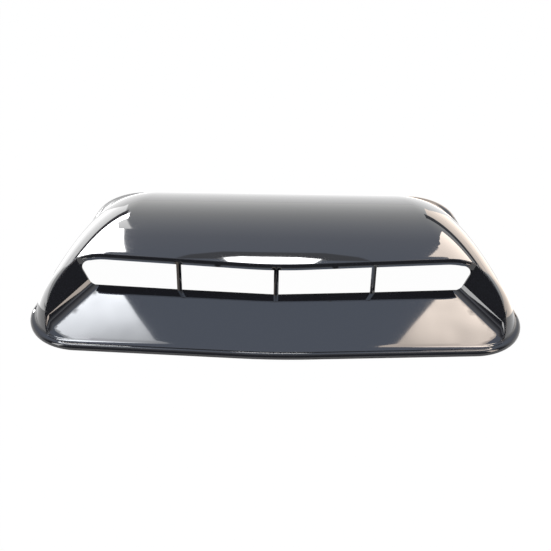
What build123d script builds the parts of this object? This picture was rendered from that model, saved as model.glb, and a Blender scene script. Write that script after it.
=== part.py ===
"""Car bonnet vent: one thin-walled moulding that sits on a bonnet over an air opening.

A narrow flange with a down-turned rim runs all round. From it rises a domed hood with
broad rounded shoulders. The front of the hood is open: a ramp climbs from the front
flange to a row of four windows under the lip, and two flat cheeks close the sides.

Millimetres, +Z up, front towards -Y. The origin is the centre of the footprint, on the
plane that the rim stands on.
"""
from build123d import *
from math import cos, radians, sin, sqrt, tan
import os

# Overall size
WIDTH = 758.0
DEPTH = 470.0
HEIGHT = 108.0
WALL = 3.0

# Footprint: a trapezoid with round corners, and a front edge swept to a blunt nose
SIDE_TAPER = 11.6        # degrees, each side closes in towards the rear
RIM_SWEEP = 3.1          # degrees, the front edge runs back from the nose
RIM_NOSE_RADIUS = 975.0
FRONT_CORNER_RADIUS = 84.0
REAR_CORNER_RADIUS = 80.0

# Flange and rim
RIM_HEIGHT = 8.0
RIM_EDGE_RADIUS = 2.5
FLANGE_WIDTH = 8.0

# Hood
LIP_SETBACK = 100.8      # nose of the rim to nose of the lip
LIP_DROP = 7.0           # the nose of the lip is this far below the full height
LIP_SWEEP = 4.27
LIP_NOSE_RADIUS = 650.0
REAR_FLANGE_WIDTH = 12.0
SHOULDER_RUN = 112.0     # how far in from the foot the round shoulder reaches
SHOULDER_SINK = 28.0     # the round shoulder starts this far below the flange top
LIP_EDGE_CHAMFER = 1.2

# Mouth
RAMP_TOP = 44.0          # height of the ramp where it meets the windows
CHEEK_ANGLE = 43.4       # degrees in plan between a cheek and the window line
CHEEK_DRAFT = 17.0       # degrees, the cheeks lean outwards going up
CHEEK_INSET = 94.0       # side edge of the rim to the foot of a cheek at the windows
MOUTH_CORNER_RADIUS = 16.0
FRONT_DRAFT = 20.0       # degrees, the low front wall leans inwards going up
RAMP_SINK = 0.3          # the ramp dips this far into the flange where it starts

# Windows
LIP_BAND = 10.0          # band of wall left above the windows
BAR_SHARE = 0.26         # distance between bars, as a share of the whole opening
BAR_WIDTH = 7.4
BAR_DEPTH = 5.0
WINDOW_CORNER_RADIUS = 14.0

# Sizes that follow from the ones above
FRONT_Y = -DEPTH / 2
REAR_Y = DEPTH / 2
LIP_Y = FRONT_Y + LIP_SETBACK
LIP_HEIGHT = HEIGHT - LIP_DROP
CHEEK_SPREAD = WIDTH - 2 * CHEEK_INSET
BAR_PITCH = BAR_SHARE * CHEEK_SPREAD
BAR_PLACES = (-BAR_PITCH, 0.0, BAR_PITCH)
FOOT_Y = REAR_Y - REAR_FLANGE_WIDTH
RAMP_RUN = LIP_SETBACK - FLANGE_WIDTH
RAMP_SLOPE = (RAMP_TOP - RIM_HEIGHT) / RAMP_RUN
FAR = WIDTH              # reach of the cutting blocks past the part


def footprint_corners():
    """The sharp corners of the footprint on the +X side: front, then rear."""
    sweep = radians(RIM_SWEEP)
    taper = radians(SIDE_TAPER)
    r = FRONT_CORNER_RADIUS
    half_front = WIDTH / 2 - r + r * (cos(sweep) + sin(taper)) / cos(taper - sweep)
    nose_y = FRONT_Y - RIM_NOSE_RADIUS * (1 / cos(sweep) - 1)
    front = (half_front, nose_y + half_front * tan(sweep))
    rear = (half_front - (REAR_Y - front[1]) * tan(taper), REAR_Y)
    return (0.0, nose_y), front, rear


def footprint(inset=0.0):
    """The footprint as a flat face, drawn in by an even inset."""
    nose, front, rear = footprint_corners()
    points = [nose, front, rear, (-rear[0], rear[1]), (-front[0], front[1])]
    radii = [RIM_NOSE_RADIUS, FRONT_CORNER_RADIUS, REAR_CORNER_RADIUS,
             REAR_CORNER_RADIUS, FRONT_CORNER_RADIUS]
    face = make_face(FilletPolyline(*points, radius=radii, close=True))
    if inset:
        face = offset(face, amount=-inset)
    return face


def straight_loft(low_face, low_z, high_face, high_z):
    """A solid with straight walls between two flat outlines of the same make."""
    return loft([Pos(0, 0, low_z) * low_face, Pos(0, 0, high_z) * high_face], ruled=True)


def front_region(nose_y, sweep, nose_radius):
    """The flat area in front of a swept line with a blunt nose at nose_y."""
    half = FAR
    tip = nose_y - nose_radius * (1 / cos(radians(sweep)) - 1)
    side_y = tip + half * tan(radians(sweep))
    front = FRONT_Y - FAR
    points = [(0, tip), (half, side_y), (half, front), (-half, front), (-half, side_y)]
    return make_face(FilletPolyline(*points, radius=[nose_radius, 0, 0, 0, 0], close=True))


def crown_arc():
    """Centre and radius of the arc, seen from the side, that the top of the hood follows.

    The arc passes the lip, peaks at the full height and comes down to the rear foot.
    """
    fall_front = HEIGHT - LIP_HEIGHT
    fall_rear = HEIGHT - RIM_HEIGHT
    run = FOOT_Y - LIP_Y
    a = fall_rear - fall_front
    b = 2 * run * fall_front
    c = fall_front ** 2 * fall_rear - run ** 2 * fall_front - fall_rear ** 2 * fall_front
    lip_to_peak = (-b + sqrt(b ** 2 - 4 * a * c)) / (2 * a)
    radius = (lip_to_peak ** 2 + fall_front ** 2) / (2 * fall_front)
    return LIP_Y + lip_to_peak, HEIGHT - radius, radius


def crown_height(y, inset=0.0):
    """Height of the top of the hood at a distance y along the part."""
    centre_y, centre_z, radius = crown_arc()
    return centre_z + sqrt((radius - inset) ** 2 - (y - centre_y) ** 2)


def front_corner_centre():
    """The centre of the round front corner of the footprint on the +X side."""
    nose, front, rear = footprint_corners()
    sweep = radians(RIM_SWEEP)
    taper = radians(SIDE_TAPER)
    r = FRONT_CORNER_RADIUS
    u = -r * (cos(sweep) + sin(taper)) / cos(taper - sweep)
    return front[0] + u, front[1] + (r + u * sin(sweep)) / cos(sweep)


def half_width(y, inset):
    """Half the width of the footprint at y, drawn in, without its rear corners."""
    nose, front, rear = footprint_corners()
    taper = radians(SIDE_TAPER)
    r = FRONT_CORNER_RADIUS
    centre_x, centre_y = front_corner_centre()
    tangent_y = centre_y + (r - inset) * sin(taper)
    if y < tangent_y:
        return centre_x + sqrt((r - inset) ** 2 - (y - centre_y) ** 2)
    return front[0] - (y - front[1]) * tan(taper) - inset / cos(taper)


def hood_side(y, inset):
    """Half the width of the hood at y, at the level where its shoulders start."""
    full_rise = HEIGHT - RIM_HEIGHT + SHOULDER_SINK
    bulge = SHOULDER_RUN * (1 - sqrt(1 - (SHOULDER_SINK / full_rise) ** 2))
    return half_width(y, FLANGE_WIDTH + inset) + bulge


def hood_station(y, inset):
    """Closed cross-section of the hood at y: upright sides and elliptic shoulders."""
    top = crown_height(y, inset)
    low = RIM_HEIGHT - SHOULDER_SINK
    rise = top - low
    side = hood_side(y, inset)
    run = SHOULDER_RUN - inset
    base = low - 2 * HEIGHT
    k = 4 / 3 * (sqrt(2) - 1)
    right = [
        Line((side, base), (side, low)),
        Bezier((side, low), (side, low + k * rise), (side - run + k * run, top), (side - run, top)),
    ]
    left = [
        Bezier((run - side, top), (run - side - k * run, top), (-side, low + k * rise), (-side, low)),
        Line((-side, low), (-side, base)),
    ]
    edges = [Line((-side, base), (side, base)), *right,
             Line((side - run, top), (run - side, top)), *left]
    plane = Plane(origin=(0, y, 0), x_dir=(1, 0, 0), z_dir=(0, -1, 0))
    return plane * make_face(Wire(edges))


def hood(inset=0.0):
    """The domed body, from inside the front corners to past the rear foot.

    The stations crowd towards the front, where the round corners turn the sides in.
    """
    corner_y = front_corner_centre()[1]
    reach = FRONT_CORNER_RADIUS - FLANGE_WIDTH - inset
    turns = [radians(angle) for angle in (21, 30, 42, 56, 72)]
    stations = [corner_y - reach * cos(turn) for turn in turns]
    rest = REAR_Y - stations[-1]
    stations += [stations[-1] + rest * share for share in (0.12, 0.3, 0.5, 0.7, 0.85, 1.0)]
    return loft([hood_station(y, inset) for y in stations])


def cheek_triangle(z, inset=0.0):
    """Flat area between the two cheeks at height z, open far past the front."""
    angle = radians(CHEEK_ANGLE)
    root_x = CHEEK_SPREAD / 2
    root_y = LIP_Y + root_x * tan(radians(LIP_SWEEP))
    out = (z - RAMP_TOP) * tan(radians(CHEEK_DRAFT)) + inset / cos(radians(CHEEK_DRAFT))
    apex_y = root_y + root_x * tan(angle) + out / cos(angle)
    front = FRONT_Y - FAR
    half = (apex_y - front) / tan(angle)
    return make_face(Polyline((0, apex_y), (half, front), (-half, front), close=True))


def mouth(inset=0.0, back=None):
    """The open space between the cheeks, in front of the window line."""
    spread = tan(radians(CHEEK_DRAFT))
    floor = footprint(FLANGE_WIDTH) & cheek_triangle(RIM_HEIGHT)
    ends = [v for v in floor.vertices() if abs(v.X) > CHEEK_SPREAD / 2]
    ends = sorted(ends, key=lambda v: -abs(v.X))[:2]
    floor = fillet(ends, MOUTH_CORNER_RADIUS)
    low_z = RIM_HEIGHT - 2 * WALL
    high_z = HEIGHT + FLANGE_WIDTH
    grow = inset / cos(radians(CHEEK_DRAFT))
    low = offset(floor, amount=grow + (low_z - RIM_HEIGHT) * spread)
    high = offset(floor, amount=grow + (high_z - RIM_HEIGHT) * spread)
    block = straight_loft(low, low_z, high, high_z)
    front = front_region(LIP_Y + (inset if back is None else back), LIP_SWEEP, LIP_NOSE_RADIUS)
    return block & extrude(Pos(0, 0, -FAR / 2) * front, FAR)


def above_ramp(inset=0.0):
    """The open space over the ramp, which is straight from the flange up to the windows."""
    sink = inset * sqrt(1 + RAMP_SLOPE ** 2)
    reach = FLANGE_WIDTH + WALL
    low_z = RIM_HEIGHT - reach * RAMP_SLOPE
    high_z = RAMP_TOP + reach * RAMP_SLOPE
    part = reach / RAMP_RUN
    low = front_region(FRONT_Y + FLANGE_WIDTH - reach, RIM_SWEEP - part * (LIP_SWEEP - RIM_SWEEP),
                       RIM_NOSE_RADIUS)
    high = front_region(LIP_Y + reach, LIP_SWEEP + part * (LIP_SWEEP - RIM_SWEEP), LIP_NOSE_RADIUS)
    sink = sink + RAMP_SINK
    return straight_loft(low, low_z - sink, high, high_z - sink)


def ramp(inset=0.0):
    """The solid under the ramp, with its front corners drawn in from the flange."""
    draw_in = (2 * RAMP_TOP - RIM_HEIGHT) * tan(radians(FRONT_DRAFT))
    low = footprint(FLANGE_WIDTH + inset)
    high = footprint(FLANGE_WIDTH + inset + draw_in)
    envelope = straight_loft(low, RIM_HEIGHT - WALL, high, 2 * RAMP_TOP - WALL)
    overlap = WALL / 2
    block = mouth(overlap - inset, overlap + inset) & envelope
    block = block & Pos(0, 0, RAMP_TOP - FAR) * Box(2 * FAR, 2 * FAR, 2 * FAR)
    return block - above_ramp(inset)


def flange(inset=0.0):
    """The flat plate of the flange, down to the plane it stands on."""
    return extrude(Pos(0, 0, -inset) * footprint(inset), RIM_HEIGHT)


def solid_body(inset=0.0):
    """The whole outer form filled in, or the space inside the wall."""
    floor = Pos(0, 0, HEIGHT - inset) * Box(2 * FAR, 2 * FAR, 2 * HEIGHT)
    return (hood(inset) & floor) - mouth(inset) + (ramp(inset) & floor) + flange(inset)


def spans(edge, low_z, high_z, rear_y):
    """True where an edge lies wholly between two heights and in front of rear_y."""
    box = edge.bounding_box()
    return box.min.Z > low_z - 0.01 and box.max.Z < high_z + 0.01 and box.max.Y < rear_y + 0.01


def outer_form():
    """The filled outer form, with its rim edge rounded and its lip edge broken."""
    form = solid_body()
    outline = Pos(0, 0, RIM_HEIGHT) * footprint().face().outer_wire()
    rim = [e for e in form.edges() if outline.distance_to(e.position_at(0.5)) < 0.01]
    form = fillet(rim, RIM_EDGE_RADIUS)
    window_line_rear = LIP_Y + CHEEK_SPREAD * tan(radians(LIP_SWEEP))
    lip = [e for e in form.edges() if spans(e, LIP_HEIGHT - 2 * LIP_BAND, HEIGHT, window_line_rear)]
    lip = [e for e in lip if e.bounding_box().max.Z > LIP_HEIGHT]
    return chamfer(lip, LIP_EDGE_CHAMFER)


def wall_slab(front, back):
    """The upright slab between two distances behind the window line."""
    ahead = extrude(front_region(LIP_Y + back, LIP_SWEEP, LIP_NOSE_RADIUS), 2 * HEIGHT)
    return ahead - extrude(front_region(LIP_Y + front, LIP_SWEEP, LIP_NOSE_RADIUS), 2 * HEIGHT)


def above_sill():
    """Everything higher than the top of the ramp."""
    return Pos(0, 0, RAMP_TOP + FAR) * Box(2 * FAR, 2 * FAR, 2 * FAR)


def window_corner(band):
    """What is left outside the round upper corner of the opening, on the +X side."""
    x = CHEEK_SPREAD / 2
    y = LIP_Y + x * tan(radians(LIP_SWEEP))
    side = hood_side(y, band)
    run = SHOULDER_RUN - band
    low = RIM_HEIGHT - SHOULDER_SINK
    drop = 1 - sqrt(1 - ((x - side + run) / run) ** 2)
    top = crown_height(y, band) - drop * (crown_height(y, band) - low)
    lean = tan(radians(CHEEK_DRAFT)) / sin(radians(CHEEK_ANGLE + LIP_SWEEP))
    r = WINDOW_CORNER_RADIUS
    centre_z = top - r
    centre_x = x + (centre_z - RAMP_TOP) * lean - r * sqrt(1 + lean ** 2)
    far = x + FAR / 4
    block = Polyline((centre_x, centre_z), (centre_x, centre_z + FAR / 4), (far, centre_z + FAR / 4),
                     (far, centre_z), close=True)
    face = make_face(block) - Pos(centre_x, centre_z) * Circle(r)
    return extrude(Plane(origin=(0, 0, 0), x_dir=(1, 0, 0), z_dir=(0, -1, 0)) * face, FAR, both=True)


def window_strip(band):
    """One long opening under the lip, from cheek to cheek, with round upper ends."""
    reach = 2 * WALL
    strip = hood(band) & wall_slab(-reach, reach) & mouth(0, 2 * reach) & above_sill()
    corner = window_corner(band)
    return strip - corner - mirror(corner, about=Plane.YZ)


def bars():
    """Upright bars that split the opening into windows and stand out behind the wall."""
    slab = wall_slab(0, BAR_DEPTH) & hood(LIP_EDGE_CHAMFER)
    low = RAMP_TOP - WALL
    posts = [slab & Pos(x, 0, low + FAR) * Box(BAR_WIDTH, 2 * FAR, 2 * FAR) for x in BAR_PLACES]
    return posts


def vent_shell():
    """The finished moulding."""
    shell = outer_form() - solid_body(WALL) - window_strip(LIP_BAND)
    for post in bars():
        shell = shell + post
    return shell


os.makedirs("parts", exist_ok=True)
export_step(vent_shell(), "parts/vent_shell.step")
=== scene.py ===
"""Looks for the car bonnet vent: gloss-black moulding on a plain white floor.

The skin of the moulding is worked out again from the sizes of the part, as one smooth
form with the soft fillets of a real moulding, and replaces the faceted solid. Lengths of
the moulding are in millimetres, those of the camera and the stage in metres.
"""
import math

import bpy
import numpy as np
from mathutils import Matrix, Vector
from mathutils.geometry import delaunay_2d_cdt


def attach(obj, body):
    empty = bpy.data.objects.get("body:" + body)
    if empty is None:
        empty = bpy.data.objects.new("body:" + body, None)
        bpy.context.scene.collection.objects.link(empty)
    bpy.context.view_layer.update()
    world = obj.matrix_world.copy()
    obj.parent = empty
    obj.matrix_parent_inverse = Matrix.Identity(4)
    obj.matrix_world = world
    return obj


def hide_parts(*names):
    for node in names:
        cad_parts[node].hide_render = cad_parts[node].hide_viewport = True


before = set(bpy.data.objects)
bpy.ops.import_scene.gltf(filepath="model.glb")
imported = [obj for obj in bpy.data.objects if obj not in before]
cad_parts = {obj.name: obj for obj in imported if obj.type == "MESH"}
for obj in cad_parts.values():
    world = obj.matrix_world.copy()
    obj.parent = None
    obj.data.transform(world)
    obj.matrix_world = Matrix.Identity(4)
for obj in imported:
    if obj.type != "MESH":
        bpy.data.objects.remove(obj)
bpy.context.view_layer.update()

# Sizes of the part
WIDTH = 758.0
DEPTH = 470.0
HEIGHT = 108.0
WALL = 3.0
SIDE_TAPER = math.radians(11.6)
RIM_SWEEP = math.radians(3.1)
RIM_NOSE_RADIUS = 975.0
FRONT_CORNER_RADIUS = 84.0
REAR_CORNER_RADIUS = 80.0
RIM_HEIGHT = 8.0
FLANGE_WIDTH = 8.0
LIP_Y = -134.2
LIP_HEIGHT = 101.0
LIP_SWEEP = math.radians(4.27)
LIP_NOSE_RADIUS = 650.0
FOOT_Y = 223.0
SHOULDER_RUN = 112.0
SHOULDER_SINK = 28.0
RAMP_TOP = 44.0
RAMP_RUN = 92.8
RAMP_SINK = 0.3
CHEEK_ANGLE = math.radians(43.4)
CHEEK_DRAFT = math.radians(17.0)
CHEEK_ROOT = 285.0       # half the distance between the feet of the cheeks at the windows
MOUTH_CORNER_RADIUS = 16.0
LIP_BAND = 10.0
WINDOW_CORNER_RADIUS = 14.0
BAR_PITCH = 148.2
BAR_WIDTH = 7.4
BAR_DEPTH = 5.0

# Soft fillets of the moulding
RIM_ROUND = 6.0
FOOT_ROUND = 5.5         # between the hood and the flange
EDGE_ROUND = 1.5         # along the edge of the mouth
CREASE_ROUND = 24.0      # between the cheeks and the ramp, at its fullest
CREASE_START = 9.0       # how far inside the footprint the crease starts to widen
CREASE_RUN = 16.0        # and over what distance it does
TOE_ROUND = 36.0         # between the ramp and the flange
TOE_CORNER_ROUND = 30.0  # between the ramp and the slant that ends it at the flange

# Cosines between the faces that those fillets join
FOOT_COSINE = 0.19
CREASE_COSINE_GAIN = 0.33
SLANT_COSINE = 0.87
EDGE_COSINE = -0.15
EDGE_COSINE_DROP = 0.73

# Limits of the forms
NOSE_ZONE = 0.88         # the arc of the nose counts past this share of its radius
HOOD_START = 0.93        # the hood starts this share of the corner's radius ahead of its centre
RAMP_FALL = 6.0          # how steeply the ramp falls away behind the cheeks
SLIT_OVERRUN = 0.7       # share of the mouth edge's round that the slit runs into
SLIT_SEARCH = (-10, 60)  # the slit ends between these distances past the root of the cheeks
MOUTH_ABOVE = 60.0       # a height on the mouth is looked for up to this far above the hood
FIELD_ABOVE = 4.0        # a height on the whole form, up to this far above the hood
FIELD_BELOW = 0.5        # and down to this far below the rim's round
HOOD_ABOVE = 2.0         # a height on the hood alone, up to this far above it

# Fineness of the mesh
LEVEL_STEP = 0.05        # half the span for a gradient of the hood's level
FIELD_STEP = 0.01        # half the span for a gradient of the whole form
OUTLINE_STEP = 0.001     # half the span for a gradient of the footprint's depth
FLATTEST = 1e-3          # the least slope that is divided by
SHORTEST = 1e-9          # the least length of a normal that is divided by
NEAREST = 1e-6           # the least way past the cheek that is divided by
TINY = 1e-7              # points nearer than this are one, and thinner triangles go
ON_LINE = 1e-4           # a point this near to the outline or to the slit lies on it
SLIT_NUDGE = 0.02        # points on the slit take their height this far beside it
ROW_PITCH = 0.866        # distance of the rows of the even grid, as a share of its step
RING_PITCH = 0.9         # distance of the points round the outline, as such a share
SLIT_MARGIN = 0.4        # distance from the rows beside the slit to the grid, as such a share
SLIT_PITCH = 2.4         # points along the slit on each step of its half length
OUTER_ROWS = (
    0.1, 0.4, 0.9, 1.6, 2.4, 3.3, 4.2, 5.1, 6, 7, 8, 9, 10, 11.2, 12.5, 14, 16, 18.5, 22, 26,
)
OUTER_SLIT_ROWS = (0.03, 0.15, 0.4, 0.8, 1.3, 2.2, 5)
INNER_ROWS = (1, 2.5, 4, 6, 9, 14, 22)
INNER_SLIT_ROWS = (0.2, 1, 2.2, 5)
SOLE_STEP = 6.0
NOSE_POINTS = 6
FRONT_CORNER_POINTS = 24
REAR_CORNER_POINTS = 20
WINDOW_TOP_POINTS = 24
WINDOW_CORNER_POINTS = 16
BAR_SINK = 0.2           # how far a bar starts inside the window wall
BAR_TOP_SINK = 0.5       # and how far its top reaches into the hood's skin
WELD_DIGITS = 4
METRE = 1000.0

# Camera, fitted to the photograph
LENS = 68.73
SENSOR_WIDTH = 36.0
CAMERA_PLACE = (-0.0065, -1.4369, 0.9935)
CAMERA_YAW = math.radians(-0.23)
CAMERA_PITCH = math.radians(55.0)
CAMERA_ROLL = math.radians(1.01)

# Stage
BLACK = (0.006, 0.006, 0.008, 1)
FLOOR_SIZE = 60
FLOOR_COLOUR = (0.85, 0.85, 0.85, 1)
FLOOR_WHITE = 0.985      # what the camera and the gloss see of the floor
ROOM_STRENGTH = 1.45
ROOM_LOW = (0.84, 0.84, 0.83, 1)
ROOM_HIGH = (0.66, 0.76, 0.95, 1)
ROOM_BETWEEN = ((0.3, (0.66, 0.67, 0.68, 1)), (0.6, (0.53, 0.57, 0.66, 1)))
WALL_Y = 3.0             # the cards behind the vent stand here
CEILING = 2.2            # the cards above it hang here
SIDE_X = 1.0             # the flags beside it stand here
AHEAD_Y = -1.0           # the flag ahead of it stands here
FLAG_LEVEL = 0.003       # cards and flags on the floor lie this high
CARD_LEVEL = 0.004
CARD_STEP = 0.01         # cards that cover each other stand this far apart, or twice as far
FLOOR_EDGE = (DEPTH / 2 + 10) / METRE
CARD_GAP = 3.0           # the nearest cards keep this far from the footprint, in millimetres
NEAR_SPAN = (-105.0, -20.0)
NEAR_REACH = 0.60
BEND_HEIGHTS = (0.006, 0.016)
BEND_POINTS = 6
LAMP_SIZE = 2.0
LAMP_POWER = 30
LAMP_PLACE = (0, -0.4, 2.4)
WHITE = (1.0, 1.0, 1.0)
BEIGE = (1.0, 0.87, 0.77)
COOL = (0.92, 0.95, 1.0)

# Sizes that follow
SHOULDER_LOW = RIM_HEIGHT - SHOULDER_SINK
RAMP_SLOPE = math.atan((RAMP_TOP - RIM_HEIGHT + RAMP_SINK) / RAMP_RUN)
CHEEK_LEAN = math.tan(CHEEK_DRAFT) / math.sin(CHEEK_ANGLE + LIP_SWEEP)
BULGE = SHOULDER_RUN * (1 - math.sqrt(1 - (SHOULDER_SINK / (HEIGHT - SHOULDER_LOW)) ** 2))


def corner_places():
    """The tip of the nose, the sharp front corner, and the centres of both corners' rounds."""
    r = FRONT_CORNER_RADIUS
    reach = r * (math.cos(RIM_SWEEP) + math.sin(SIDE_TAPER)) / math.cos(SIDE_TAPER - RIM_SWEEP)
    half = WIDTH / 2 - r + reach
    tip = -DEPTH / 2 - RIM_NOSE_RADIUS * (1 / math.cos(RIM_SWEEP) - 1)
    front = (half, tip + half * math.tan(RIM_SWEEP))
    front_y = front[1] + (r - reach * math.sin(RIM_SWEEP)) / math.cos(RIM_SWEEP)
    rear_x = half - (DEPTH / 2 - front[1]) * math.tan(SIDE_TAPER)
    rear_x -= REAR_CORNER_RADIUS * (1 - math.sin(SIDE_TAPER)) / math.cos(SIDE_TAPER)
    return tip, front, (half - reach, front_y), (rear_x, DEPTH / 2 - REAR_CORNER_RADIUS)


NOSE_TIP, FRONT, FRONT_CENTRE, REAR_CENTRE = corner_places()


def crown():
    """Centre and radius of the arc that the top of the hood follows."""
    fall_front = HEIGHT - LIP_HEIGHT
    fall_rear = HEIGHT - RIM_HEIGHT
    run = FOOT_Y - LIP_Y
    a = fall_rear - fall_front
    b = 2 * run * fall_front
    c = fall_front ** 2 * fall_rear - run ** 2 * fall_front - fall_rear ** 2 * fall_front
    ahead = (-b + math.sqrt(b * b - 4 * a * c)) / (2 * a)
    radius = (ahead ** 2 + fall_front ** 2) / (2 * fall_front)
    return LIP_Y + ahead, HEIGHT - radius, radius


CROWN_Y, CROWN_Z, CROWN_RADIUS = crown()


def outline_depth(x, y):
    """How far points lie inside the footprint."""
    ax = np.abs(x)
    front = (y - NOSE_TIP) * math.cos(RIM_SWEEP) - ax * math.sin(RIM_SWEEP)
    side = (FRONT[0] - ax) * math.cos(SIDE_TAPER) - (y - FRONT[1]) * math.sin(SIDE_TAPER)
    rear = DEPTH / 2 - y
    depth = np.minimum(np.minimum(front, side), rear)
    rx, ry = ax - FRONT_CENTRE[0], y - FRONT_CENTRE[1]
    before = rx * math.cos(RIM_SWEEP) + ry * math.sin(RIM_SWEEP) > 0
    inside = before & (rx * math.sin(SIDE_TAPER) - ry * math.cos(SIDE_TAPER) > 0)
    depth = np.where(inside, FRONT_CORNER_RADIUS - np.hypot(rx, ry), depth)
    rx, ry = ax - REAR_CENTRE[0], y - REAR_CENTRE[1]
    inside = (rx > 0) & (ry * math.cos(SIDE_TAPER) - rx * math.sin(SIDE_TAPER) > 0)
    depth = np.where(inside, REAR_CORNER_RADIUS - np.hypot(rx, ry), depth)
    ry = RIM_NOSE_RADIUS - DEPTH / 2 - y
    inside = (ax < ry * math.tan(RIM_SWEEP)) & (ry > NOSE_ZONE * RIM_NOSE_RADIUS)
    return np.where(inside, np.minimum(RIM_NOSE_RADIUS - np.hypot(ax, ry), rear), depth)


def swept_line(ax, nose_y, sweep, radius):
    """The y of a swept line with a blunt nose."""
    tip = nose_y - radius * (1 / math.cos(sweep) - 1)
    reach = radius * math.sin(sweep)
    arc = nose_y + radius - np.sqrt(radius ** 2 - np.minimum(ax, reach) ** 2)
    return np.where(ax < reach, arc, tip + ax * math.tan(sweep))


def window_line(x, back=0.0):
    """The y of the window wall, or of a line a little behind it."""
    return swept_line(np.abs(x), LIP_Y, LIP_SWEEP, LIP_NOSE_RADIUS) + back / math.cos(LIP_SWEEP)


def half_width(y, inset):
    """Half the width of the footprint at y, without its rear corners."""
    r = FRONT_CORNER_RADIUS - inset
    arc = FRONT_CENTRE[0] + np.sqrt(np.maximum(r ** 2 - (y - FRONT_CENTRE[1]) ** 2, 0))
    line = FRONT[0] - (y - FRONT[1]) * math.tan(SIDE_TAPER) - inset / math.cos(SIDE_TAPER)
    return np.where(y < FRONT_CENTRE[1] + r * math.sin(SIDE_TAPER), arc, line)


def hood_level(x, y, z, inset):
    """Zero on the hood, below zero inside it: elliptic shoulders beside a level top."""
    run = SHOULDER_RUN - inset
    side = half_width(y, FLANGE_WIDTH + inset) + BULGE
    top = CROWN_Z + np.sqrt((CROWN_RADIUS - inset) ** 2 - (y - CROWN_Y) ** 2)
    across = np.maximum(np.abs(x) - (side - run), 0) / run
    upward = np.maximum(z - SHOULDER_LOW, 0) / (top - SHOULDER_LOW)
    return np.hypot(across, upward) - 1


def slope_of(field, x, y, z, step):
    """Gradient of a field at points, by small steps."""
    gx = field(x + step, y, z) - field(x - step, y, z)
    gy = field(x, y + step, z) - field(x, y - step, z)
    gz = field(x, y, z + step) - field(x, y, z - step)
    return np.stack([gx, gy, gz], 1) / (2 * step)


def hood_distance(x, y, z, inset):
    """About the distance to the hood."""
    def level(x, y, z):
        return hood_level(x, y, z, inset)
    slope = np.linalg.norm(slope_of(level, x, y, z, LEVEL_STEP), axis=1)
    return level(x, y, z) / np.maximum(slope, FLATTEST)


def join(a, b, r, c):
    """Union of two solids with a fillet; c is the cosine between their faces."""
    s, t = r - a, r - b
    zone = (s > t * c) & (t > s * c) & (s > 0) & (t > 0)
    away = np.sqrt(np.maximum((s * s + t * t - 2 * s * t * c) / (1 - c * c), 0))
    return np.where(zone, r - away, np.minimum(a, b))


def cut(a, b, r, c):
    """Overlap of two solids with a rounded edge."""
    return -join(-a, -b, r, c)


def mouth_distance(x, y, z):
    """Below zero behind the cheeks, with the cosine between them and the hood there."""
    out = (RIM_HEIGHT - RAMP_TOP) * math.tan(CHEEK_DRAFT)
    apex = window_line(CHEEK_ROOT) + CHEEK_ROOT * math.tan(CHEEK_ANGLE)
    apex = apex + out / math.cos(CHEEK_ANGLE)
    past_cheek = (y - apex) * math.cos(CHEEK_ANGLE) + np.abs(x) * math.sin(CHEEK_ANGLE)
    past_front = FLANGE_WIDTH - outline_depth(x, y)
    outside = cut(past_cheek, past_front, MOUTH_CORNER_RADIUS, 0.0)
    p = np.maximum(MOUTH_CORNER_RADIUS + past_cheek, NEAREST)
    q = np.maximum(MOUTH_CORNER_RADIUS + past_front, 0)
    facing = EDGE_COSINE - EDGE_COSINE_DROP * q * q / (p * p + q * q)
    return (z - RIM_HEIGHT) * math.sin(CHEEK_DRAFT) - outside * math.cos(CHEEK_DRAFT), facing


def ramp_height(x, y):
    """Height of the straight ramp from the flange up to the windows."""
    ax = np.abs(x)
    start = swept_line(ax, FLANGE_WIDTH - DEPTH / 2, RIM_SWEEP, RIM_NOSE_RADIUS)
    share = (y - start) / (window_line(x) - start)
    return RIM_HEIGHT - RAMP_SINK + (RAMP_TOP - RIM_HEIGHT + RAMP_SINK) * share


def free(x, y, z, inset, ahead):
    """Distance from the moulding, above zero in the air.

    Ahead of the window wall the mouth is open down to the ramp; behind it the hood is whole.
    """
    depth = outline_depth(x, y)
    flange = z - RIM_HEIGHT + inset
    start = FRONT_CENTRE[1] - HOOD_START * (FRONT_CORNER_RADIUS - FLANGE_WIDTH - inset) - y
    hood = np.maximum(hood_distance(x, y, z, inset), start)
    mouth, facing = mouth_distance(x, y, z)
    mouth = mouth + inset
    if ahead:
        body = cut(hood, mouth, EDGE_ROUND, facing)
        ramp = (z - ramp_height(x, y)) * math.cos(RAMP_SLOPE) + inset
        slant = (z - RIM_HEIGHT + FLANGE_WIDTH - depth) * math.sqrt(0.5) + inset
        ramp = cut(ramp, slant, TOE_CORNER_ROUND, SLANT_COSINE)
        ramp = ramp + RAMP_FALL * np.maximum(-mouth, 0)
        low = join(ramp, flange, TOE_ROUND, math.cos(RAMP_SLOPE))
        share = np.clip((depth - CREASE_START) / CREASE_RUN, 0, 1)
        share = share * share * (3 - 2 * share)
        fillet = FOOT_ROUND + (CREASE_ROUND - FOOT_ROUND) * share
        whole = join(body, low, fillet, FOOT_COSINE + CREASE_COSINE_GAIN * share)
    else:
        wall = (window_line(x) - y) * math.cos(LIP_SWEEP) + inset
        body = cut(hood, np.minimum(mouth, wall), EDGE_ROUND, facing)
        whole = join(body, flange, FOOT_ROUND, FOOT_COSINE)
    if inset == 0:
        whole = cut(whole, -depth, RIM_ROUND, 0.0)
    return whole


def halve(above, low, high, rounds=26):
    """The point where a test turns true, found by halving the span; works on arrays."""
    for _ in range(rounds):
        mid = (low + high) / 2
        up = above(mid)
        high = np.where(up, mid, high)
        low = np.where(up, low, mid)
    return (low + high) / 2


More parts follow.
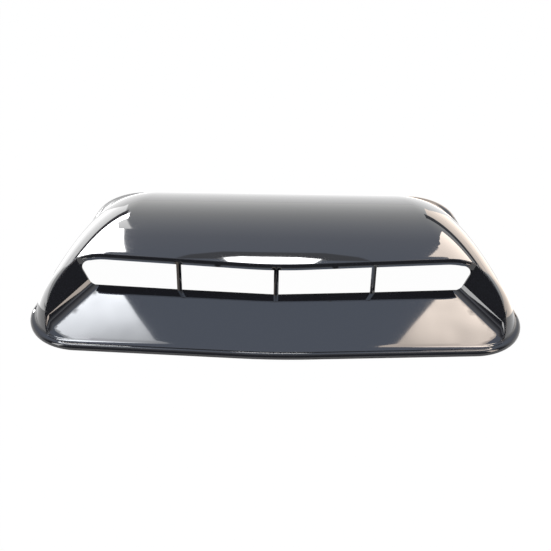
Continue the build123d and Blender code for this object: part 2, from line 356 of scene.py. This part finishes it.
def surface(x, y, inset, ahead):
    """Height and normals of the moulding over points."""
    def field(x, y, z):
        return free(x, y, z, inset, ahead)
    low = np.full_like(x, RIM_HEIGHT - inset - RIM_ROUND - FIELD_BELOW)
    z = halve(lambda mid: field(x, y, mid) > 0, low, np.full_like(x, HEIGHT + FIELD_ABOVE))
    slope = slope_of(field, x, y, z, FIELD_STEP)
    return z, slope / np.maximum(np.linalg.norm(slope, axis=1, keepdims=True), SHORTEST)


def slit_end(inset):
    """The x where the window line meets the edge of the mouth."""
    def past(x):
        y = window_line(x, inset)

        def above(mid):
            return mouth_distance(x, y, mid)[0] + inset > 0
        z = halve(above, np.array([0.0]), np.array([HEIGHT + MOUTH_ABOVE]))
        return hood_distance(x, y, z, inset) > -SLIT_OVERRUN * EDGE_ROUND
    near, far = (np.array([CHEEK_ROOT + past_root]) for past_root in SLIT_SEARCH)
    return float(halve(past, near, far, rounds=50)[0])


def arc(centre, radius, start, stop, count):
    """Points along an arc with the directions back to its centre."""
    turns = np.linspace(start, stop, count)
    out = np.stack([np.cos(turns), np.sin(turns)], 1)
    return np.hstack([np.array(centre) + radius * out, -out])


def outline_points(step):
    """Points round the footprint with their inward directions, front centre first."""
    ahead, sweep = -math.pi / 2, RIM_SWEEP - math.pi / 2
    nose = arc((0, RIM_NOSE_RADIUS - DEPTH / 2), RIM_NOSE_RADIUS, ahead, sweep, NOSE_POINTS)
    front = arc(FRONT_CENTRE, FRONT_CORNER_RADIUS, sweep, SIDE_TAPER, FRONT_CORNER_POINTS)
    rear = arc(REAR_CENTRE, REAR_CORNER_RADIUS, SIDE_TAPER, math.pi / 2, REAR_CORNER_POINTS)
    end = np.array([[0.0, DEPTH / 2, 0.0, -1.0]])
    right = [nose]
    for part in (front, rear, end):
        last, first = right[-1][-1], part[0]
        count = int(np.linalg.norm(first[:2] - last[:2]) / step)
        shares = np.linspace(0, 1, count + 1)[1:-1, None]
        right.append(last + (first - last) * shares)
        right.append(part)
    right = np.concatenate(right)
    left = right[-2:0:-1] * np.array([-1, 1, -1, 1])
    return np.concatenate([right, left])


def even_grid(step):
    """An even grid of points over the footprint, in rows that are set off by half a step."""
    rows = []
    for i, y in enumerate(np.arange(-DEPTH / 2, DEPTH / 2, step * ROW_PITCH)):
        x = np.arange(-WIDTH / 2, WIDTH / 2, step) + (i % 2) * step / 2
        rows.append(np.stack([x, np.full_like(x, y)], 1))
    return np.concatenate(rows)


def loop_edges(first, count):
    """Edges of a closed loop of points that are numbered in order."""
    return [(first + i, first + (i + 1) % count) for i in range(count)]


def triangulate(points, edges):
    """Triangles between flat points that keep the given edges."""
    found = delaunay_2d_cdt([Vector(p) for p in points], edges, [], 0, TINY)
    places = np.array([tuple(v) for v in found[0]])
    return places, np.array([f for f in found[2] if len(f) == 3])


def double_areas(places, tri):
    """Twice the areas of flat triangles, below zero where they run clockwise."""
    a, b, c = (places[tri[:, k]] for k in range(3))
    return np.cross(b - a, c - a)


def lengths(places, a, b):
    """Distances between points given by their numbers."""
    return np.linalg.norm(places[a] - places[b], axis=1)


class Sheet:
    """One side of the moulding as heights over the plane, slit along the window wall.

    The slit lets the surface step from the ramp and cheeks up to the roof.
    """

    def __init__(self, inset, step, rows, slit_rows):
        self.inset = inset
        self.end = slit_end(inset)
        ring = outline_points(RING_PITCH * step)
        loop = ring[:, :2] + ring[:, 2:] * inset
        beside = [ring[:, :2] + ring[:, 2:] * (d + inset) for d in rows]
        x = np.linspace(-self.end, self.end, int(SLIT_PITCH * self.end / step))
        slit = np.stack([x, window_line(x, inset)], 1)
        beside += [slit + np.array([0, gap]) for gap in slit_rows]
        beside = np.concatenate(beside)
        beside = beside[self.clear_of_slit(beside, gap=0.01, margin=1)]
        grid = even_grid(step)
        grid = grid[outline_depth(grid[:, 0], grid[:, 1]) > inset + rows[-1] + step / 2]
        gap = slit_rows[-1] + SLIT_MARGIN * step
        grid = grid[self.clear_of_slit(grid, gap, margin=step / 2)]
        n = len(loop)
        edges = loop_edges(0, n)
        edges += [(n + i, n + i + 1) for i in range(len(slit) - 1)]
        self.xy, tri = triangulate(np.concatenate([loop, slit, beside, grid]), edges)
        self.open_slit(tri)

    def from_slit(self, xy):
        """Distance from the window line, along y."""
        return np.abs(xy[:, 1] - window_line(xy[:, 0], self.inset))

    def clear_of_slit(self, xy, gap, margin):
        """Which points lie off the window line or past the ends of the slit."""
        return (self.from_slit(xy) > gap) | (np.abs(xy[:, 0]) > self.end + margin)

    def behind(self, xy):
        """Which points lie behind the window line."""
        return xy[:, 1] > window_line(xy[:, 0], self.inset)

    def places(self):
        """The points in space."""
        return np.column_stack([self.xy, self.z])

    def append(self, xy, rim, slit, ahead):
        """Adds points, each with whether it lies on the rim, on the slit and ahead of it."""
        self.xy = np.concatenate([self.xy, xy])
        self.rim = np.concatenate([self.rim, rim])
        self.slit = np.concatenate([self.slit, slit])
        self.ahead = np.concatenate([self.ahead, ahead])

    def open_slit(self, tri):
        """Gives the triangles on either side of the slit their own points along it."""
        area = double_areas(self.xy, tri)
        whole = np.abs(area) > TINY
        tri, turned = tri[whole], area[whole] < 0
        tri[turned] = tri[turned][:, ::-1]
        self.rim = np.abs(outline_depth(self.xy[:, 0], self.xy[:, 1]) - self.inset) < ON_LINE
        ax = np.abs(self.xy[:, 0])
        self.slit = (self.from_slit(self.xy) < ON_LINE) & (ax < self.end + ON_LINE)
        self.ahead = self.slit | ~self.behind(self.xy)
        twin = np.where(self.slit & (ax < self.end - ON_LINE))[0]
        copy = np.full(len(self.xy), -1)
        copy[twin] = len(self.xy) + np.arange(len(twin))
        self.append(self.xy[twin], self.rim[twin], self.slit[twin], np.zeros(len(twin), bool))
        swap = self.behind(self.xy[tri].mean(1))[:, None] & (copy[tri] >= 0)
        self.tri = np.where(swap, copy[tri], tri)
        self.z, self.normal = self.solve(0)

    def solve(self, first):
        """Heights and normals of the points from one index on."""
        xy, slit, ahead = self.xy[first:], self.slit[first:], self.ahead[first:]
        z, normal = np.zeros(len(xy)), np.zeros((len(xy), 3))
        for side, nudge in ((True, -SLIT_NUDGE), (False, SLIT_NUDGE)):
            pick = ahead == side
            y = xy[pick, 1] + np.where(slit[pick], nudge, 0.0)
            z[pick], normal[pick] = surface(xy[pick, 0], y, self.inset, side)
        return z, normal

    def refine(self, angle, shortest, longest, rounds=9):
        """Halves edges until the surface turns little along each of them."""
        for _ in range(rounds):
            sides = [self.tri[:, [0, 1]], self.tri[:, [1, 2]], self.tri[:, [2, 0]]]
            sides = np.sort(np.concatenate(sides), axis=1)
            edges, which = np.unique(sides, axis=0, return_inverse=True)
            a, b = edges.T
            length = lengths(self.places(), a, b)
            turn = (self.normal[a] * self.normal[b]).sum(1) < math.cos(math.radians(angle))
            mark = (turn & (length > shortest)) | (length > longest)
            if not mark.any():
                return
            middle = np.full(len(edges), -1)
            middle[mark] = len(self.xy) + np.arange(mark.sum())
            self.add_middles(a[mark], b[mark])
            self.tri = self.halved(middle[which.reshape(-1)].reshape(3, -1).T)

    def add_middles(self, a, b):
        """Adds a point halfway along each edge, kept on the outline or on the slit."""
        step = OUTLINE_STEP
        xy = (self.xy[a] + self.xy[b]) / 2
        rim, slit = self.rim[a] & self.rim[b], self.slit[a] & self.slit[b]
        for _ in range(3):
            x, y = xy[rim].T
            off = outline_depth(x, y) - self.inset
            gx = (outline_depth(x + step, y) - outline_depth(x - step, y)) / (2 * step)
            gy = (outline_depth(x, y + step) - outline_depth(x, y - step)) / (2 * step)
            xy[rim] -= np.stack([gx * off, gy * off], 1)
        xy[slit, 1] = window_line(xy[slit, 0], self.inset)
        ahead = np.where(slit, self.ahead[a] & self.ahead[b], ~self.behind(xy))
        first = len(self.xy)
        self.append(xy, rim, slit, ahead)
        z, normal = self.solve(first)
        self.z = np.concatenate([self.z, z])
        self.normal = np.concatenate([self.normal, normal])

    def halved(self, middle):
        """The triangles again, split at the middles of their marked edges."""
        count = (middle >= 0).sum(1)
        parts = []
        a, b, c, ab, bc, ca = self.turned(count == 1, middle, (middle >= 0).argmax(1))
        parts += [(a, ab, c), (ab, b, c)]
        a, b, c, ab, bc, ca = self.turned(count == 2, middle, ((middle < 0).argmax(1) + 1) % 3)
        places = self.places()
        near = lengths(places, a, bc) < lengths(places, ab, c)
        far = ~near
        parts += [(ab, b, bc), (a[near], ab[near], bc[near]), (a[near], bc[near], c[near])]
        parts += [(a[far], ab[far], c[far]), (ab[far], bc[far], c[far])]
        a, b, c, ab, bc, ca = self.turned(count == 3, middle, np.zeros(len(self.tri), int))
        parts += [(a, ab, ca), (ab, b, bc), (ca, bc, c), (ab, bc, ca)]
        return np.concatenate([self.tri[count == 0]] + [np.stack(part, 1) for part in parts])

    def turned(self, pick, middle, first):
        """Corners and middles of some triangles, counted from a chosen corner."""
        tri, mid, first = self.tri[pick], middle[pick], first[pick]
        rows = np.arange(len(tri))
        order = [(first + k) % 3 for k in range(3)]
        return [tri[rows, k] for k in order] + [mid[rows, k] for k in order]

    def add_to(self, mesh, flip=False):
        """Adds the sheet to a mesh, turned over if it is the inner one."""
        tri = self.tri[:, ::-1] if flip else self.tri
        normal = -self.normal if flip else self.normal
        mesh.add(self.places(), tri, normal)

    def slit_line(self, ahead):
        """The points along one side of the slit, from left to right."""
        tips = np.abs(self.xy[:, 0]) > self.end - ON_LINE
        pick = np.where(self.slit & ((self.ahead == ahead) | tips))[0]
        pick = pick[np.argsort(self.xy[pick, 0])]
        return self.places()[pick]

    def rim_line(self):
        """The points round the outline, in order."""
        pick = np.where(self.rim)[0]
        pick = pick[np.argsort(np.arctan2(self.xy[pick, 1], self.xy[pick, 0]))]
        return self.places()[pick]


class Mesh:
    """Gathers points, triangles and their normals into one mesh."""

    def __init__(self):
        self.points, self.faces, self.normals = [], [], []
        self.count = 0

    def add(self, points, faces, normal=None):
        """Adds faces; without normals each face is flat."""
        points, faces = np.asarray(points, float), np.asarray(faces)
        if normal is None:
            a, b, c = (points[faces[:, k]] for k in range(3))
            flat = np.cross(b - a, c - a)
            size = np.linalg.norm(flat, axis=1)
            whole = size > SHORTEST
            faces, flat, size = faces[whole], flat[whole], size[whole]
            normals = np.repeat((flat / size[:, None])[:, None], 3, axis=1)
        else:
            normals = normal[faces]
        self.points.append(points)
        self.faces.append(faces + self.count)
        self.normals.append(normals)
        self.count += len(points)

    def strip(self, one, two):
        """A closed band between two rings of points, facing left of the way from one to two."""
        n = len(one)
        i = np.arange(n)
        j = (i + 1) % n
        faces = np.concatenate([np.stack([i, j, j + n], 1), np.stack([i, j + n, i + n], 1)])
        self.add(np.concatenate([one, two]), faces)

    def build(self, name):
        """The finished object, with points that share a place welded."""
        points = np.concatenate(self.points)
        faces = np.concatenate(self.faces)
        normals = np.concatenate(self.normals)
        points = np.round(points, WELD_DIGITS)
        unique, same = np.unique(points, axis=0, return_inverse=True)
        faces = same.reshape(-1)[faces]
        a, b, c = faces.T
        whole = (a != b) & (b != c) & (c != a)
        faces, normals = faces[whole], normals[whole]
        mesh = bpy.data.meshes.new(name)
        mesh.from_pydata((unique / METRE).tolist(), [], faces.tolist())
        mesh.polygons.foreach_set("use_smooth", [True] * len(faces))
        mesh.normals_split_custom_set(normals.reshape(-1, 3).tolist())
        part = bpy.data.objects.new(name, mesh)
        bpy.context.scene.collection.objects.link(part)
        return part


def hood_height(x, y, inset):
    """Height of the hood over points."""
    def above(mid):
        return hood_level(x, y, mid, inset) > 0
    return halve(above, np.zeros_like(x), np.full_like(x, HEIGHT + HOOD_ABOVE))


def window_top(start, stop):
    """The upper edge of a window, a band below the hood, as x and z."""
    x = np.linspace(start, stop, WINDOW_TOP_POINTS)
    return np.stack([x, hood_height(x, window_line(x), LIP_BAND)], 1)


def window_loops():
    """The outlines of the four windows as x and z, the outer two with a round upper end."""
    r = WINDOW_CORNER_RADIUS
    root = np.array([CHEEK_ROOT])
    cz = hood_height(root, window_line(root), LIP_BAND)[0] - r
    cx = CHEEK_ROOT + (cz - RAMP_TOP) * CHEEK_LEAN - r * math.sqrt(1 + CHEEK_LEAN ** 2)
    half = BAR_WIDTH / 2
    low = np.array([[BAR_PITCH + half, RAMP_TOP], [CHEEK_ROOT, RAMP_TOP]])
    top = window_top(BAR_PITCH + half, cx)
    turns = np.linspace(math.pi / 2, -math.atan(CHEEK_LEAN), WINDOW_CORNER_POINTS)[1:]
    rise = np.where(turns > 0, top[-1, 1] - cz, r)
    end = np.stack([cx + r * np.cos(turns), cz + rise * np.sin(turns)], 1)
    outer = np.concatenate([low, end[::-1], top[::-1]])
    low = [[half, RAMP_TOP], [BAR_PITCH - half, RAMP_TOP]]
    inner = np.concatenate([low, window_top(half, BAR_PITCH - half)[::-1]])
    mirror = np.array([-1, 1])
    return [outer, inner, (inner * mirror)[::-1], (outer * mirror)[::-1]]


def inside(points, loop):
    """Which points lie inside a closed outline."""
    x, y = points.T
    hits = np.zeros(len(points), int)
    for (x0, y0), (x1, y1) in zip(loop, np.roll(loop, -1, axis=0)):
        if y0 != y1:
            span = (y0 > y) != (y1 > y)
            hits += span & (x < (x1 - x0) * (y - y0) / (y1 - y0) + x0)
    return hits % 2 == 1


def on_wall(xz, back):
    """Points given as x and z, set on the window wall or a little behind it."""
    return np.stack([xz[:, 0], window_line(xz[:, 0], back), xz[:, 1]], 1)


def wall_face(mesh, sheet, loops, back, flip):
    """One face of the window wall, between the two sides of the slit."""
    low, high = sheet.slit_line(True)[:, [0, 2]], sheet.slit_line(False)[:, [0, 2]]
    rim = np.concatenate([low, high[-2:0:-1]])
    outlines = [rim] + loops
    edges, start = [], 0
    for outline in outlines:
        edges += loop_edges(start, len(outline))
        start += len(outline)
    xz, tri = triangulate(np.concatenate(outlines), edges)
    centre = xz[tri].mean(1)
    keep = inside(centre, rim)
    for loop in loops:
        keep &= ~inside(centre, loop)
    tri = tri[keep]
    wrong = (double_areas(xz, tri) < 0) != flip
    tri[wrong] = tri[wrong][:, ::-1]
    mesh.add(on_wall(xz, back), tri)


def add_bar(mesh, x):
    """The back of an upright bar, which stands out behind the window wall."""
    half = BAR_WIDTH / 2
    corners = []
    for back in (WALL - BAR_SINK, BAR_DEPTH):
        for px in (x - half, x + half):
            spot = np.array([px])
            y = window_line(spot, back)
            top = hood_height(spot, y, WALL - BAR_TOP_SINK)[0]
            corners += [(px, y[0], RAMP_TOP - WALL), (px, y[0], top)]
    quads = [(4, 5, 7, 6), (0, 1, 5, 4), (2, 6, 7, 3), (0, 4, 6, 2), (1, 3, 7, 5), (0, 2, 3, 1)]
    middle = np.mean(corners, axis=0)
    points = np.array(corners)
    for quad in quads:
        face = points[list(quad)]
        normal = np.cross(face[1] - face[0], face[2] - face[0])
        order = quad if np.dot(normal, face.mean(0) - middle) > 0 else quad[::-1]
        mesh.add(points, [(order[0], order[1], order[2]), (order[0], order[2], order[3])])


def shell_object():
    """The whole moulding: outer and inner sheets, rim, window wall and bars."""
    outer = Sheet(inset=0.0, step=9.0, rows=OUTER_ROWS, slit_rows=OUTER_SLIT_ROWS)
    outer.refine(angle=5.0, shortest=0.45, longest=12)
    inner = Sheet(inset=WALL, step=16.0, rows=INNER_ROWS, slit_rows=INNER_SLIT_ROWS)
    inner.refine(angle=12.0, shortest=1.0, longest=24, rounds=7)
    mesh = Mesh()
    outer.add_to(mesh)
    inner.add_to(mesh, flip=True)
    flat = np.array([1, 1, 0])
    rim, foot = outer.rim_line(), inner.rim_line()
    mesh.strip(rim * flat, rim)
    mesh.strip(foot, foot * flat)
    ring = outline_points(SOLE_STEP)
    ground = np.zeros(len(ring))
    sole = np.column_stack([ring[:, :2], ground])
    drawn_in = np.column_stack([ring[:, :2] + ring[:, 2:] * WALL, ground])
    mesh.strip(drawn_in, sole)
    loops = window_loops()
    wall_face(mesh, outer, loops, 0.0, False)
    wall_face(mesh, inner, loops, WALL, True)
    for loop in loops:
        mesh.strip(on_wall(loop, WALL), on_wall(loop, 0.0))
    for x in (-BAR_PITCH, 0.0, BAR_PITCH):
        add_bar(mesh, x)
    return mesh.build("vent_skin")


def nodes_of(material):
    """An empty node tree with its output node."""
    material.use_nodes = True
    tree = material.node_tree
    tree.nodes.clear()
    out = tree.nodes.new("ShaderNodeOutputMaterial")
    return tree, out


def add_node(tree, kind, values=None):
    """A shader node with some of its inputs set."""
    node = tree.nodes.new(kind)
    for socket, value in (values or {}).items():
        node.inputs[socket].default_value = value
    return node


def add_math(tree, operation, values=None):
    """A math node."""
    node = add_node(tree, "ShaderNodeMath", values)
    node.operation = operation
    return node


def gloss_black():
    """High-gloss black plastic with a faint moulding ripple and patches of slight haze."""
    material = bpy.data.materials.new("gloss_black_plastic")
    tree, out = nodes_of(material)
    shader = add_node(tree, "ShaderNodeBsdfPrincipled", {
        "Base Color": BLACK,
        "IOR": 1.5,
        "Coat Weight": 0.6,
        "Coat Roughness": 0.02,
        "Coat IOR": 1.5,
    })
    place = add_node(tree, "ShaderNodeTexCoord")
    haze = add_node(tree, "ShaderNodeTexNoise", {"Scale": 14.0, "Detail": 3.0})
    spread = add_node(tree, "ShaderNodeMapRange", {"To Min": 0.02, "To Max": 0.06})
    ripple = add_node(tree, "ShaderNodeTexNoise", {"Scale": 9.0, "Detail": 1.0})
    bump = add_node(tree, "ShaderNodeBump", {"Strength": 0.05, "Distance": 0.002})
    tree.links.new(place.outputs["Object"], haze.inputs["Vector"])
    tree.links.new(place.outputs["Object"], ripple.inputs["Vector"])
    tree.links.new(haze.outputs["Fac"], spread.inputs["Value"])
    tree.links.new(spread.outputs["Result"], shader.inputs["Roughness"])
    tree.links.new(ripple.outputs["Fac"], bump.inputs["Height"])
    tree.links.new(bump.outputs["Normal"], shader.inputs["Normal"])
    tree.links.new(bump.outputs["Normal"], shader.inputs["Coat Normal"])
    tree.links.new(shader.outputs["BSDF"], out.inputs["Surface"])
    return material


def white_stage():
    """White floor that keeps a faint shadow and shows white to the camera and in gloss."""
    material = bpy.data.materials.new("white_floor")
    tree, out = nodes_of(material)
    diffuse = add_node(tree, "ShaderNodeBsdfDiffuse", {"Color": FLOOR_COLOUR})
    glow = add_node(tree, "ShaderNodeEmission")
    path = add_node(tree, "ShaderNodeLightPath")
    either = add_math(tree, "MAXIMUM")
    any_ray = add_math(tree, "MAXIMUM")
    share = add_math(tree, "MULTIPLY", {1: FLOOR_WHITE})
    mix = add_node(tree, "ShaderNodeMixShader")
    tree.links.new(path.outputs["Is Camera Ray"], either.inputs[0])
    tree.links.new(path.outputs["Is Glossy Ray"], either.inputs[1])
    tree.links.new(either.outputs[0], any_ray.inputs[0])
    tree.links.new(path.outputs["Is Transmission Ray"], any_ray.inputs[1])
    tree.links.new(any_ray.outputs[0], share.inputs[0])
    tree.links.new(share.outputs[0], mix.inputs["Fac"])
    tree.links.new(diffuse.outputs[0], mix.inputs[1])
    tree.links.new(glow.outputs[0], mix.inputs[2])
    tree.links.new(mix.outputs[0], out.inputs["Surface"])
    return material


def add_camera():
    """Camera at the photograph's place: 35 degrees down, nearly centred, slightly rolled."""
    data = bpy.data.cameras.new("camera")
    data.lens = LENS
    data.sensor_width = SENSOR_WIDTH
    camera = bpy.data.objects.new("camera", data)
    bpy.context.scene.collection.objects.link(camera)
    yaw = Matrix.Rotation(CAMERA_YAW, 4, "Z")
    pitch = Matrix.Rotation(CAMERA_PITCH, 4, "X")
    roll = Matrix.Rotation(CAMERA_ROLL, 4, "Z")
    place = Matrix.Translation(CAMERA_PLACE)
    camera.matrix_world = place @ yaw @ pitch @ roll
    bpy.context.scene.camera = camera


def add_floor():
    """The plain floor, far wider than the picture."""
    bpy.ops.mesh.primitive_plane_add(size=FLOOR_SIZE, location=(0, 0, 0))
    floor = bpy.context.active_object
    floor.name = "floor"
    floor.data.materials.append(white_stage())


def add_world():
    """White to the camera; to all else a room that turns from pale grey to blue upwards."""
    world = bpy.data.worlds.new("studio")
    bpy.context.scene.world = world
    world.use_nodes = True
    tree = world.node_tree
    tree.nodes.clear()
    out = add_node(tree, "ShaderNodeOutputWorld")
    path = add_node(tree, "ShaderNodeLightPath")
    seen = add_node(tree, "ShaderNodeBackground", {"Color": (1, 1, 1, 1)})
    room = add_node(tree, "ShaderNodeBackground", {"Strength": ROOM_STRENGTH})
    place = add_node(tree, "ShaderNodeTexCoord")
    split = add_node(tree, "ShaderNodeSeparateXYZ")
    tint = add_node(tree, "ShaderNodeValToRGB")
    colours = tint.color_ramp.elements
    colours[0].position, colours[0].color = 0.0, ROOM_LOW
    colours[1].position, colours[1].color = 1.0, ROOM_HIGH
    for height, colour in ROOM_BETWEEN:
        colours.new(height).color = colour
    mix = add_node(tree, "ShaderNodeMixShader")
    tree.links.new(place.outputs["Generated"], split.inputs[0])
    tree.links.new(split.outputs["Z"], tint.inputs["Fac"])
    tree.links.new(tint.outputs["Color"], room.inputs["Color"])
    tree.links.new(path.outputs["Is Camera Ray"], mix.inputs["Fac"])
    tree.links.new(room.outputs[0], mix.inputs[1])
    tree.links.new(seen.outputs[0], mix.inputs[2])
    tree.links.new(mix.outputs[0], out.inputs["Surface"])


def fading(tree, strength, fade):
    """A strength that fades along one axis and is a little cloudy."""
    axis, start, stop, weak = fade
    place = add_node(tree, "ShaderNodeTexCoord")
    split = add_node(tree, "ShaderNodeSeparateXYZ")
    ends = {"From Min": start, "From Max": stop, "To Min": weak, "To Max": strength}
    ramp = add_node(tree, "ShaderNodeMapRange", ends)
    ramp.interpolation_type = "SMOOTHSTEP"
    cloud = add_node(tree, "ShaderNodeTexNoise", {"Scale": 5.0, "Detail": 2.0})
    patchy = add_node(tree, "ShaderNodeMapRange", {"To Min": 0.55, "To Max": 1.45})
    product = add_math(tree, "MULTIPLY")
    tree.links.new(place.outputs["Object"], split.inputs[0])
    tree.links.new(place.outputs["Object"], cloud.inputs["Vector"])
    tree.links.new(split.outputs[axis], ramp.inputs["Value"])
    tree.links.new(cloud.outputs["Fac"], patchy.inputs["Value"])
    tree.links.new(ramp.outputs["Result"], product.inputs[0])
    tree.links.new(patchy.outputs["Result"], product.inputs[1])
    return product.outputs[0]


def add_card(name, corners, colour, strength, fade=None):
    """A flat studio card that shows only as a reflection in glossy surfaces.

    A fade is the axis that it runs along, its two ends and the strength at the first end.
    """
    mesh = bpy.data.meshes.new(name)
    mesh.from_pydata(corners, [], [tuple(range(len(corners)))])
    card = bpy.data.objects.new(name, mesh)
    bpy.context.scene.collection.objects.link(card)
    material = bpy.data.materials.new(name)
    tree, out = nodes_of(material)
    glow = add_node(tree, "ShaderNodeEmission", {"Color": (*colour, 1), "Strength": strength})
    tree.links.new(glow.outputs[0], out.inputs["Surface"])
    if fade:
        tree.links.new(fading(tree, strength, fade), glow.inputs["Strength"])
    mesh.materials.append(material)
    card.visible_camera = False
    card.visible_diffuse = False
    card.visible_shadow = False
    card.visible_transmission = False


def rectangle(a, b, c, d):
    """Corners of a rectangle from a to b one way and from c to d the other."""
    return [(a, c), (b, c), (b, d), (a, d)]


def across(corners, y, side=1):
    """Corners given as x and z, on an upright plane that faces the camera."""
    return [(side * x, y, z) for x, z in corners]


def along(corners, x):
    """Corners given as y and z, on an upright plane beside the vent."""
    return [(x, y, z) for y, z in corners]


def lying(corners, z, side=1):
    """Corners given as x and y, on a level plane."""
    return [(side * x, y, z) for x, y in corners]


def add_rear_cards():
    """Bright panels far behind, which the roof mirrors, and a flag round the middle one."""
    left = [(-2.7, 0.95), (-0.70, 0.95), (-0.72, 1.7), (-0.88, 3.6), (-2.7, 3.6)]
    soft = [(-1.02, 1.30), (-0.69, 1.30), (-0.70, 1.95), (-0.84, 1.95)]
    right = [(2.7, 1.3), (1.28, 1.3), (1.05, 2.0), (0.90, 2.7), (0.93, 3.6), (2.7, 3.6)]
    top = [(-0.31, 3.95), (-0.20, 3.82), (0.16, 3.82), (0.30, 3.95), (0.25, 4.6), (-0.28, 4.6)]
    round_top = [
        (-0.62, 4.1), (-0.52, 3.75), (-0.3, 3.45), (0.3, 3.45), (0.52, 3.75), (0.62, 4.1),
    ]
    add_card("card_rear_left", across(left, WALL_Y), WHITE, strength=22)
    add_card("card_soft", across(soft, WALL_Y - CARD_STEP), WHITE, strength=4)
    add_card("card_rear_right", across(right, WALL_Y), BEIGE, strength=7.5)
    add_card("card_rear_top", across(top, WALL_Y), WHITE, strength=22)
    add_card("flag_round_top", across(round_top, WALL_Y + 2 * CARD_STEP), COOL, strength=0.5)


def add_top_cards():
    """Soft panels overhead, which the two ends of the ramp mirror."""
    left = [
        (-1.3, 0.02), (-0.385, 0.02), (-0.53, 0.22), (-0.65, 0.38), (-0.76, 0.55), (-1.3, 0.55),
    ]
    right = [
        (1.3, 0.02), (0.37, 0.02), (0.53, 0.19), (0.68, 0.37), (0.82, 0.55), (1.3, 0.55),
    ]
    fade_left, fade_right = ("Y", 0.10, 0.46, 3.6), ("Y", 0.08, 0.42, 5.0)
    add_card("card_top_left", lying(left, CEILING), COOL, strength=18, fade=fade_left)
    add_card("card_top_right", lying(right, CEILING), BEIGE, strength=14, fade=fade_right)


def add_side_cards(side, colour):
    """Panels and flags on one side, which the flank, the cheek and the rim mirror."""
    low = rectangle(2.7, 0.9, 0.0, 0.6)
    line = rectangle(2.7, 0.8, 0.62, 0.93)
    add_card("card_low", across(low, WALL_Y, side), colour, strength=2.2)
    add_card("flag_line", across(line, WALL_Y, side), COOL, strength=0.15)

    beside = [(0.41, -0.02), (0.35, 0.26), (0.9, 2.6), (1.6, 2.6), (1.2, -0.02)]
    near = [(half_width(y, -CARD_GAP) / METRE, y / METRE) for y in NEAR_SPAN]
    near += [(NEAR_REACH, y / METRE) for y in reversed(NEAR_SPAN)]
    add_card("card_beside", lying(beside, CARD_LEVEL, side), colour, strength=2.2)
    add_card("card_near", lying(near, CARD_LEVEL, side), colour, strength=2.2)

    low, high = BEND_HEIGHTS
    bend = arc(REAR_CENTRE, REAR_CORNER_RADIUS + CARD_GAP, SIDE_TAPER, math.pi / 2, BEND_POINTS)
    bend = bend[:, :2] * (side, 1) / METRE
    for (x0, y0), (x1, y1) in zip(bend, bend[1:]):
        strip = [(x0, y0, low), (x1, y1, low), (x1, y1, high), (x0, y0, high)]
        add_card("card_bend", strip, colour, strength=2.6)

    wing = rectangle(-1.6, -0.12, 0.0, 0.9)
    streak = [(-0.86, 0.12), (-0.56, 0.12), (-0.60, 0.95), (-0.90, 0.95)]
    fade = ("Y", -0.45, -0.12, 0.1)
    add_card("flag_side", along(wing, side * SIDE_X), COOL, strength=0.9, fade=fade)
    add_card("card_side", along(streak, side * (SIDE_X - 2 * CARD_STEP)), colour, strength=6)


def add_flags():
    """Dark flags ahead and above, and a pale card on the floor behind."""
    front = rectangle(-1.3, 1.3, -1.6, -FLOOR_EDGE)
    ahead = rectangle(-1.4, 1.4, 0.0, 1.6)
    above = rectangle(-1.3, 1.3, -1.6, -0.2)
    behind = rectangle(-3.0, 3.0, FLOOR_EDGE, 8.0)
    fade_ahead, fade_above = ("Z", 0.8, 1.6, 0.12), ("Y", -1.3, -0.2, 0.15)
    add_card("flag_front", lying(front, FLAG_LEVEL), COOL, strength=0.12)
    add_card("flag_ahead", across(ahead, AHEAD_Y), COOL, strength=1.0, fade=fade_ahead)
    add_card("flag_above", lying(above, CEILING), COOL, strength=1.1, fade=fade_above)
    add_card("card_behind", lying(behind, FLAG_LEVEL), WHITE, strength=1.2)


def add_lamp():
    """One broad soft lamp overhead, for the faint shadow under the vent."""
    data = bpy.data.lights.new("soft_lamp", "AREA")
    data.shape = "SQUARE"
    data.size = LAMP_SIZE
    data.energy = LAMP_POWER
    lamp = bpy.data.objects.new("soft_lamp", data)
    lamp.location = LAMP_PLACE
    lamp.visible_glossy = False
    bpy.context.scene.collection.objects.link(lamp)


plastic = gloss_black()
skin = shell_object()
skin.data.materials.append(plastic)
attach(skin, "root")
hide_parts("vent_shell")
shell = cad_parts["vent_shell"]
for slot in shell.material_slots:
    slot.material = plastic
print("triangles", len(skin.data.polygons))

add_camera()
add_floor()
add_world()
add_rear_cards()
add_top_cards()
add_side_cards(-1, WHITE)
add_side_cards(1, BEIGE)
add_flags()
add_lamp()
bpy.context.scene.view_settings.view_transform = "Standard"
